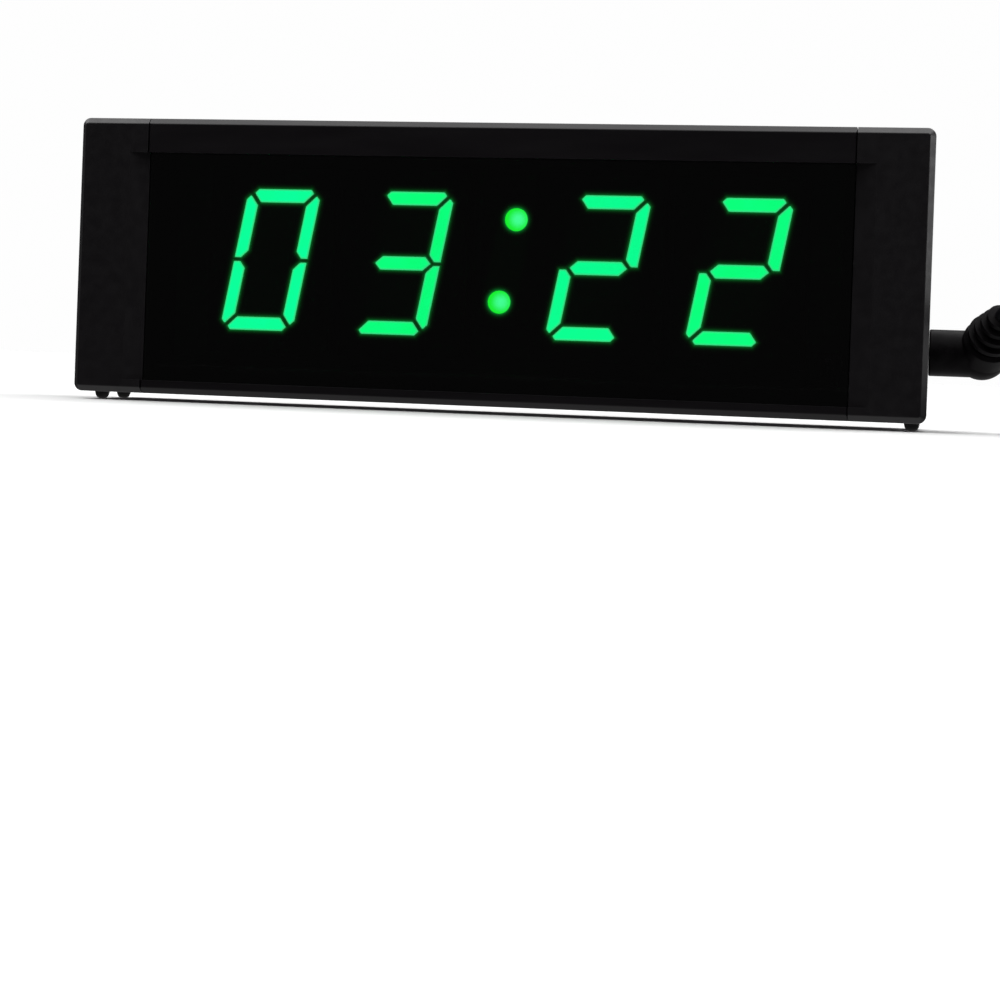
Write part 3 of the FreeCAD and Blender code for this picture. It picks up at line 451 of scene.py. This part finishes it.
# ---- materials of the electronics ----
def board_green():
    """Solder mask over glass fibre, with the tracks showing faintly under it."""
    material = new_material("board_green", (0.02, 0.10, 0.04), 0.35)
    mottle(material, 1.2 * MM, (0.014, 0.085, 0.032), (0.030, 0.130, 0.055), stretch=(6, 6, 1))
    vary_roughness(material, 3 * MM, 0.28, 0.42)
    grain(material, 0.5 * MM, 0.010 * MM, stretch=(8, 8, 1))
    return material


def chip_black():
    material = new_material("chip_black", (0.02, 0.02, 0.02), 0.6, specular=0.3)
    mottle(material, 0.8 * MM, (0.015, 0.015, 0.015), (0.026, 0.025, 0.024))
    vary_roughness(material, 0.5 * MM, 0.52, 0.68)
    grain(material, 0.1 * MM, 0.003 * MM)
    return material


def tin_metal():
    material = new_material("tin_metal", (0.70, 0.70, 0.70), 0.25, metallic=1.0)
    mottle(material, 1.5 * MM, (0.62, 0.62, 0.61), (0.76, 0.76, 0.76))
    vary_roughness(material, 0.8 * MM, 0.18, 0.34)
    grain(material, 0.15 * MM, 0.002 * MM, stretch=(1, 1, 12))
    return material


def capacitor_sleeve():
    material = new_material("capacitor_sleeve", (0.02, 0.025, 0.05), 0.25)
    mottle(material, 2 * MM, (0.017, 0.021, 0.044), (0.024, 0.030, 0.058))
    vary_roughness(material, 1 * MM, 0.2, 0.3)
    grain(material, 0.6 * MM, 0.004 * MM)
    return material


def receiver_tint():
    material = new_material("receiver_tint", (0.02, 0.012, 0.015), 0.15)
    mottle(material, 1 * MM, (0.016, 0.009, 0.012), (0.024, 0.015, 0.018))
    vary_roughness(material, 0.7 * MM, 0.10, 0.20)
    return material


def connector_white():
    material = new_material("connector_white", (0.80, 0.79, 0.75), 0.45)
    mottle(material, 1.5 * MM, (0.76, 0.75, 0.70), (0.83, 0.82, 0.79))
    vary_roughness(material, 1 * MM, 0.4, 0.5)
    grain(material, 0.2 * MM, 0.003 * MM)
    return material


def jack_black():
    material = new_material("jack_black", (0.015, 0.015, 0.015), 0.3)
    mottle(material, 1.2 * MM, (0.012, 0.012, 0.012), (0.019, 0.019, 0.019))
    vary_roughness(material, 0.8 * MM, 0.24, 0.36)
    grain(material, 0.3 * MM, 0.002 * MM)
    return material


def contact_brass():
    material = new_material("contact_brass", (0.75, 0.60, 0.30), 0.25, metallic=1.0)
    mottle(material, 0.8 * MM, (0.66, 0.51, 0.25), (0.80, 0.66, 0.36))
    vary_roughness(material, 0.5 * MM, 0.18, 0.34)
    grain(material, 0.1 * MM, 0.002 * MM)
    return material


def wire_insulation(name, dark, light):
    material = new_material(name, light, 0.4)
    mottle(material, 1.5 * MM, dark, light)
    vary_roughness(material, 0.8 * MM, 0.34, 0.46)
    grain(material, 0.3 * MM, 0.004 * MM)
    return material


def wire_red():
    return wire_insulation("wire_red", (0.42, 0.015, 0.015), (0.55, 0.024, 0.022))


def wire_black():
    return wire_insulation("wire_black", (0.012, 0.012, 0.012), (0.019, 0.019, 0.019))


def ferrite():
    """Transformer core with its windings under tape."""
    material = new_material("ferrite", (0.10, 0.09, 0.08), 0.55)
    mottle(material, 1.5 * MM, (0.07, 0.065, 0.06), (0.13, 0.12, 0.10))
    vary_roughness(material, 1 * MM, 0.45, 0.65)
    grain(material, 0.25 * MM, 0.008 * MM)
    return material


# ---- materials of the power lead ----
def plug_nickel():
    """Bright nickel, with drawing lines round and along it."""
    material = new_material("plug_nickel", (0.72, 0.71, 0.70), 0.16, metallic=1.0)
    mottle(material, 2 * MM, (0.66, 0.65, 0.63), (0.76, 0.75, 0.74))
    vary_roughness(material, 1 * MM, 0.10, 0.24)
    grain(material, 0.08 * MM, 0.001 * MM, stretch=(1, 12, 12))
    return material


def plug_black():
    """Soft moulded PVC with a dull skin."""
    material = new_material("plug_black", (0.010, 0.009, 0.010), 0.40, specular=0.05)
    mottle(material, 3 * MM, (0.008, 0.007, 0.008), (0.013, 0.012, 0.013))
    vary_roughness(material, 1.5 * MM, 0.34, 0.46)
    worn_edges(material, 0.3 * MM, (0.035, 0.035, 0.038), 0.5)
    grain(material, 0.5 * MM, 0.006 * MM)
    return material


def cord_pvc():
    """PVC jacket, slightly oily, with faint waves from the wires inside."""
    material = new_material("cord_pvc", (0.013, 0.013, 0.016), 0.34, specular=0.45)
    mottle(material, 5 * MM, (0.010, 0.010, 0.013), (0.017, 0.017, 0.021))
    vary_roughness(material, 2 * MM, 0.28, 0.42)
    grain(material, 3 * MM, 0.030 * MM)
    grain(material, 0.3 * MM, 0.003 * MM)
    return material


def tie_black():
    material = new_material("tie_black", (0.015, 0.015, 0.015), 0.6, specular=0.3)
    mottle(material, 1.2 * MM, (0.011, 0.011, 0.012), (0.021, 0.021, 0.022))
    vary_roughness(material, 0.6 * MM, 0.5, 0.7)
    grain(material, 0.35 * MM, 0.015 * MM, stretch=(1, 1, 4))
    return material


def label_paper():
    """Blank silver-white label."""
    material = new_material("label_paper", (0.75, 0.78, 0.80), 0.4)
    mottle(material, 4 * MM, (0.70, 0.73, 0.76), (0.79, 0.81, 0.83))
    vary_roughness(material, 1.5 * MM, 0.34, 0.48)
    grain(material, 0.15 * MM, 0.002 * MM)
    return material


def adapter_black():
    """Spark-eroded adapter shell, black with a cold tint."""
    material = new_material("adapter_black", (0.012, 0.012, 0.016), 0.5, specular=0.45)
    mottle(material, 8 * MM, (0.009, 0.009, 0.013), (0.015, 0.015, 0.020))
    vary_roughness(material, 2.5 * MM, 0.44, 0.58)
    worn_edges(material, 0.5 * MM, (0.034, 0.034, 0.040), 0.6)
    grain(material, 0.35 * MM, 0.012 * MM)
    return material


FINISHES = [
    black_profile, black_abs, screw_steel, smoked_lens, foot_rubber, plated_steel,
    segment_green, segment_dark, digit_black, lamp_green,
    board_green, chip_black, tin_metal, capacitor_sleeve, receiver_tint, connector_white,
    jack_black, contact_brass, wire_red, wire_black,
    plug_nickel, plug_black, cord_pvc, tie_black, label_paper, adapter_black, ferrite,
]


def finish_cad_nodes(frame):
    """Gives every CAD node the material of its slot, and returns the materials by slot."""
    materials = {}
    for make in FINISHES:
        materials[make.__name__] = make()
    for part in frame["record"]["subparts"]:
        for place in frame["nodes"][part["node"]].material_slots:
            place.material = materials[part["material_slot"]]
    return materials


# ---- flat outlines, seen from the front ----
def front_outlines(node):
    """Outlines of a node's frontmost faces, each a list of (x, z) corners, anticlockwise."""
    shape = bmesh.new()
    shape.from_mesh(node.data)
    bmesh.ops.remove_doubles(shape, verts=shape.verts, dist=WELD_DISTANCE)
    front = min(vert.co.y for vert in shape.verts)
    faces = {face for face in shape.faces if all(vert.co.y - front < FRONT_DEPTH for vert in face.verts)}
    following = {}
    for face in sorted(faces, key=lambda face: face.index):
        for loop in face.loops:
            if sum(other in faces for other in loop.edge.link_faces) == 1:
                following[loop.vert.index] = loop.link_loop_next.vert.index
    shape.verts.ensure_lookup_table()
    outlines = []
    while following:
        index = next(iter(following))
        outline = []
        while index in following:
            corner = shape.verts[index].co
            outline.append(Vector((corner.x, corner.z)))
            index = following.pop(index)
        outlines.append(without_straight_corners(outline))
    shape.free()
    return outlines


def without_straight_corners(outline):
    kept = []
    for index, corner in enumerate(outline):
        before = (corner - outline[index - 1]).normalized()
        after = (outline[(index + 1) % len(outline)] - corner).normalized()
        if before.dot(after) < STRAIGHT_COSINE:
            kept.append(corner)
    return kept


def offset_outline(outline, distance):
    """A convex outline grown outwards by distance, or shrunk where it is negative."""
    moved = []
    for index, corner in enumerate(outline):
        before = (corner - outline[index - 1]).normalized()
        after = (outline[(index + 1) % len(outline)] - corner).normalized()
        middle = Vector((before.y + after.y, -before.x - after.x)).normalized()
        moved.append(corner + middle * distance / middle.dot(Vector((after.y, -after.x))))
    return moved


def cut_corners(outline, length, steps=3):
    """Each corner replaced by a small arc that starts and ends that length from it."""
    rounded = []
    for index, corner in enumerate(outline):
        before = outline[index - 1]
        after = outline[(index + 1) % len(outline)]
        start = corner + (before - corner).normalized() * length
        end = corner + (after - corner).normalized() * length
        for step in range(steps + 1):
            share = step / steps
            rounded.append(start.lerp(corner, share).lerp(corner.lerp(end, share), share))
    return rounded


def distance_to_outline(place, outline):
    """Distance from a place to a convex outline, 0 inside it."""
    inside = True
    nearest = math.inf
    for index, start in enumerate(outline):
        side = outline[(index + 1) % len(outline)] - start
        share = max(0.0, min(1.0, (place - start).dot(side) / side.length_squared))
        nearest = min(nearest, (start + side * share - place).length)
        inside = inside and side.x * (place.y - start.y) - side.y * (place.x - start.x) > -1e-9
    return 0.0 if inside else nearest


def circle_outline(centre, radius):
    turns = [2 * math.pi * step / CIRCLE_SIDES for step in range(CIRCLE_SIDES)]
    return [centre + Vector((math.cos(turn), math.sin(turn))) * radius for turn in turns]


# ---- lit segments and the faces around them ----
def add_object(name, shape, material, body):
    mesh = bpy.data.meshes.new(name)
    shape.to_mesh(mesh)
    shape.free()
    mesh.materials.append(material)
    piece = bpy.data.objects.new(name, mesh)
    bpy.context.scene.collection.objects.link(piece)
    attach(piece, body)
    return piece


def ring(shape, outline, depth):
    """New corners of the shape at (x, z) places, all at one depth."""
    return [shape.verts.new((corner.x, depth, corner.y)) for corner in outline]


def add_lit_bar(shape, rim, outline, front, back):
    """One lit segment: straight sides, a rounded rim and a slightly raised middle."""
    side = cut_corners(outline, CORNER_CUT)
    rounded = cut_corners(offset_outline(outline, -RIM_ROUND), CORNER_CUT)
    raised = cut_corners(offset_outline(outline, -RIM_WIDTH), CORNER_CUT / 2)
    rings = [
        (ring(shape, side, back), 1.0),
        (ring(shape, side, front), 1.0),
        (ring(shape, rounded, front - RIM_ROUND_SHARE * RIM_RISE), 1.0),
        (ring(shape, raised, front - RIM_RISE), 0.0),
    ]
    for verts, share_of_rim in rings:
        for vert in verts:
            vert[rim] = share_of_rim
    for (outer, _), (inner, _) in zip(rings, rings[1:]):
        for index in range(len(outer)):
            after = (index + 1) % len(outer)
            shape.faces.new((outer[index], outer[after], inner[after], inner[index]))
    shape.faces.new(rings[-1][0])
    shape.faces.new(reversed(rings[0][0]))


def clear_outlines(frame, node_name):
    """Outlines of the lit bars as far as the black paint leaves them clear."""
    low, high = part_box(node_name)
    middle = (low.z + high.z) / 2
    openings = []
    for outline in front_outlines(frame["nodes"][node_name]):
        squeezed = [Vector((corner.x, middle + (corner.y - middle) * CLEAR_HEIGHT)) for corner in outline]
        openings.append(offset_outline(squeezed, -PAINT_OVERLAP))
    return openings


def make_lit_digit(frame, node_name, material):
    low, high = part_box(node_name)
    shape = bmesh.new()
    rim = shape.verts.layers.float.new("rim")
    for outline in clear_outlines(frame, node_name):
        add_lit_bar(shape, rim, outline, low.y - SEGMENT_PROUD, high.y)
    piece = add_object(node_name + "_bars", shape, material, "timer")
    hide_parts(node_name)


def rectangle(low, high, inset):
    left, right = low.x + inset, high.x - inset
    bottom, top = low.z + inset, high.z - inset
    return [Vector((left, bottom)), Vector((right, bottom)), Vector((right, top)), Vector((left, top))]


def make_face_film(name, border, front, lit_outlines, material):
    """A thin printed film with a hole for each lit outline, which knows how far from them it is."""
    rings = [offset_outline(outline, reach) for outline in lit_outlines for reach in GLOW_RINGS]
    corners = []
    edges = []
    for outline in [border] + lit_outlines + rings:
        first = len(corners)
        count = len(outline)
        corners.extend(outline)
        edges.extend((first + index, first + (index + 1) % count) for index in range(count))
    corners, _, triangles, _, _, _ = delaunay_2d_cdt(corners, edges, [], 0, 1e-7)
    shape = bmesh.new()
    distance = shape.verts.layers.float.new("distance")
    verts = ring(shape, corners, front)
    for vert, corner in zip(verts, corners):
        vert[distance] = min(distance_to_outline(corner, outline) for outline in lit_outlines)
    for triangle in triangles:
        middle = sum((corners[index] for index in triangle), Vector((0, 0))) / 3
        if min(distance_to_outline(middle, outline) for outline in lit_outlines) > 0:
            shape.faces.new([verts[index] for index in triangle])
    bmesh.ops.recalc_face_normals(shape, faces=shape.faces)
    faces = list(shape.faces)
    back = bmesh.ops.extrude_face_region(shape, geom=faces)["geom"]
    for item in back:
        if isinstance(item, bmesh.types.BMVert):
            item.co.y += FILM_THICKNESS
    loose = [vert for vert in shape.verts if not vert.link_faces]
    bmesh.ops.delete(shape, geom=loose, context="VERTS")
    bmesh.ops.recalc_face_normals(shape, faces=shape.faces)
    return add_object(name, shape, material, "timer")


def make_digits(frame, materials):
    face = display_face()
    for number in range(1, 5):
        lit = "digit_%d_lit_segments" % number
        low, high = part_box("digit_%d_housing" % number)
        border = rectangle(low, high, FILM_INSET)
        front = low.y - 2 * FILM_THICKNESS
        make_face_film("digit_%d_face" % number, border, front, clear_outlines(frame, lit), face)
        make_lit_digit(frame, lit, materials["segment_green"])
    make_colon_face(face)


def make_colon_face(face):
    low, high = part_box("colon_holder")
    circles = []
    for lamp in ("colon_lamp_lower", "colon_lamp_upper"):
        lamp_low, lamp_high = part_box(lamp)
        centre = Vector(((lamp_low.x + lamp_high.x) / 2, (lamp_low.z + lamp_high.z) / 2))
        circles.append(circle_outline(centre, LAMP_HOLE_RADIUS))
    border = rectangle(low, high, FILM_INSET)
    make_face_film("colon_face", border, low.y - 2 * FILM_THICKNESS, circles, face)


# ---- tie round the coil ----
def strands_under_tie():
    """Where the cord passes under the tie, along X and up."""
    route = ROUTE_TO_COIL + coil_points() + ROUTE_TO_ADAPTER
    places = []
    for start, end in zip(route, route[1:]):
        before = start[1] - COIL_CENTRE[1]
        after = end[1] - COIL_CENTRE[1]
        if start[0] < COIL_CENTRE[0] and before * after < 0:
            share = before / (before - after)
            places.append(Vector((start[0], start[2])).lerp(Vector((end[0], end[2])), share) * MM)
    return places


def outline_round(places, radius):
    """The tight outline round circles of one radius at all the places."""
    corners = []
    for place in places:
        corners.extend(circle_outline(place, radius))
    return [corners[index] for index in convex_hull_2d(corners)]


def make_tie(material):
    """A strap drawn tight round the bundle, resting on the floor with the turns."""
    inside = outline_round(strands_under_tie(), CORD_DIAMETER / 2 * MM + TIE_CLEARANCE)
    outside = offset_outline(inside, TIE_THICKNESS)
    middle = COIL_CENTRE[1] * MM
    shape = bmesh.new()
    rings = []
    for outline, depth in ((inside, middle - TIE_WIDTH / 2), (outside, middle - TIE_WIDTH / 2),
                           (outside, middle + TIE_WIDTH / 2), (inside, middle + TIE_WIDTH / 2)):
        lowest = TIE_SOLE if outline is inside else 0.0
        kept = [Vector((corner.x, max(corner.y, lowest))) for corner in outline]
        rings.append(ring(shape, kept, depth))
    for here, there in zip(rings, rings[1:] + rings[:1]):
        for index in range(len(here)):
            after = (index + 1) % len(here)
            shape.faces.new((here[index], here[after], there[after], there[index]))
    bmesh.ops.recalc_face_normals(shape, faces=shape.faces)
    tie = add_object("tie_strap", shape, material, "power_lead")
    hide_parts("cord_tie")


# ---- studio ----
def make_floor():
    shape = bmesh.new()
    bmesh.ops.create_grid(shape, x_segments=8, y_segments=8, size=FLOOR_REACH)
    mesh = bpy.data.meshes.new("floor")
    shape.to_mesh(mesh)
    shape.free()
    floor = bpy.data.objects.new("floor", mesh)
    bpy.context.scene.collection.objects.link(floor)
    paper = new_material("floor_paper", (0.9, 0.9, 0.9), 0.9, specular=0.0)
    mottle(paper, 0.15, (0.895, 0.895, 0.895), (0.905, 0.905, 0.905))
    mesh.materials.append(paper)
    floor.visible_glossy = False
    floor.visible_diffuse = False
    floor.visible_transmission = False


def make_world():
    """Soft light, bright above and behind, faint below and dark in front, seen as plain white."""
    world = bpy.data.worlds.new("studio")
    bpy.context.scene.world = world
    world.use_nodes = True
    tree = world.node_tree
    place = tree.nodes.new("ShaderNodeTexCoord")
    axes = tree.nodes.new("ShaderNodeSeparateXYZ")
    tree.links.new(place.outputs["Generated"], axes.inputs[0])
    overhead = remap(tree, axes.outputs["Z"], 0.50, 0.90, 0.0, OVERHEAD_LIGHT, smooth=True)
    backward = remap(tree, axes.outputs["Y"], -0.8, 0.3, 0.60, 1.0, smooth=True)
    dome = math_node(tree, "MULTIPLY", overhead, backward)
    behind = remap(tree, axes.outputs["Y"], 0.1, 0.95, 0.0, WALL_LIGHT, smooth=True)
    rightward = remap(tree, axes.outputs["X"], -0.6, 0.6, 0.5, 1.2, smooth=True)
    wall = math_node(tree, "MULTIPLY", behind, rightward)
    beneath = remap(tree, axes.outputs["Z"], -0.25, -0.80, 0.0, BENEATH_LIGHT, smooth=True)
    above_floor = math_node(tree, "ADD", dome, wall)
    shaped = math_node(tree, "ADD", above_floor, beneath)
    strength = math_node(tree, "ADD", shaped, LIGHT_ALL_ROUND)
    lighting = tree.nodes["Background"]
    lighting.inputs["Color"].default_value = (1.0, 1.0, 1.0, 1.0)
    tree.links.new(strength, lighting.inputs["Strength"])
    seen = tree.nodes.new("ShaderNodeBackground")
    seen.inputs["Color"].default_value = (1.0, 1.0, 1.0, 1.0)
    seen.inputs["Strength"].default_value = SEEN_WHITE
    ray = tree.nodes.new("ShaderNodeLightPath")
    choice = tree.nodes.new("ShaderNodeMixShader")
    tree.links.new(ray.outputs["Is Camera Ray"], choice.inputs[0])
    tree.links.new(lighting.outputs[0], choice.inputs[1])
    tree.links.new(seen.outputs[0], choice.inputs[2])
    tree.links.new(choice.outputs[0], tree.nodes["World Output"].inputs["Surface"])


def make_softbox(name, place, target, width, height, power):
    light = bpy.data.lights.new(name, "AREA")
    light.shape = "RECTANGLE"
    light.size = width
    light.size_y = height
    light.energy = power
    holder = bpy.data.objects.new(name, light)
    bpy.context.scene.collection.objects.link(holder)
    holder.location = place
    holder.rotation_euler = (Vector(target) - Vector(place)).to_track_quat("-Z", "Y").to_euler()


def make_lights():
    case_middle = (0.0, 0.0, 0.03)
    case_right = (0.10, 0.0, 0.04)
    make_softbox("key", (0.55, 0.45, 0.75), case_middle, width=0.5, height=0.35, power=2.0)
    make_softbox("left", (-0.70, 0.30, 0.55), case_middle, width=0.35, height=0.35, power=0.8)
    make_softbox("right", (0.95, 0.15, 0.16), case_right, width=0.5, height=0.4, power=2.0)


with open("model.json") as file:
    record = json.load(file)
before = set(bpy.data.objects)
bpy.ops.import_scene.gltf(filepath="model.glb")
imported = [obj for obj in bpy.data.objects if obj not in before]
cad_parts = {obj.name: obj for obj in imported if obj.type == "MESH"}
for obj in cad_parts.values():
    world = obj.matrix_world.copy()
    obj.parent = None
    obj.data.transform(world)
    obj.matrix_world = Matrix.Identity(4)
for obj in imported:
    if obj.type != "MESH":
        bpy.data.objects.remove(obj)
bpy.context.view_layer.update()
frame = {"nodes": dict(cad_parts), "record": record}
make_camera()
finishes = finish_cad_nodes(frame)
make_tie(finishes["tie_black"])
cord = make_cord()
cord.data.materials.append(finishes["cord_pvc"])
make_digits(frame, finishes)
make_floor()
make_world()
make_lights()
bpy.context.scene.view_settings.view_transform = "Standard"
bpy.context.view_layer.update()
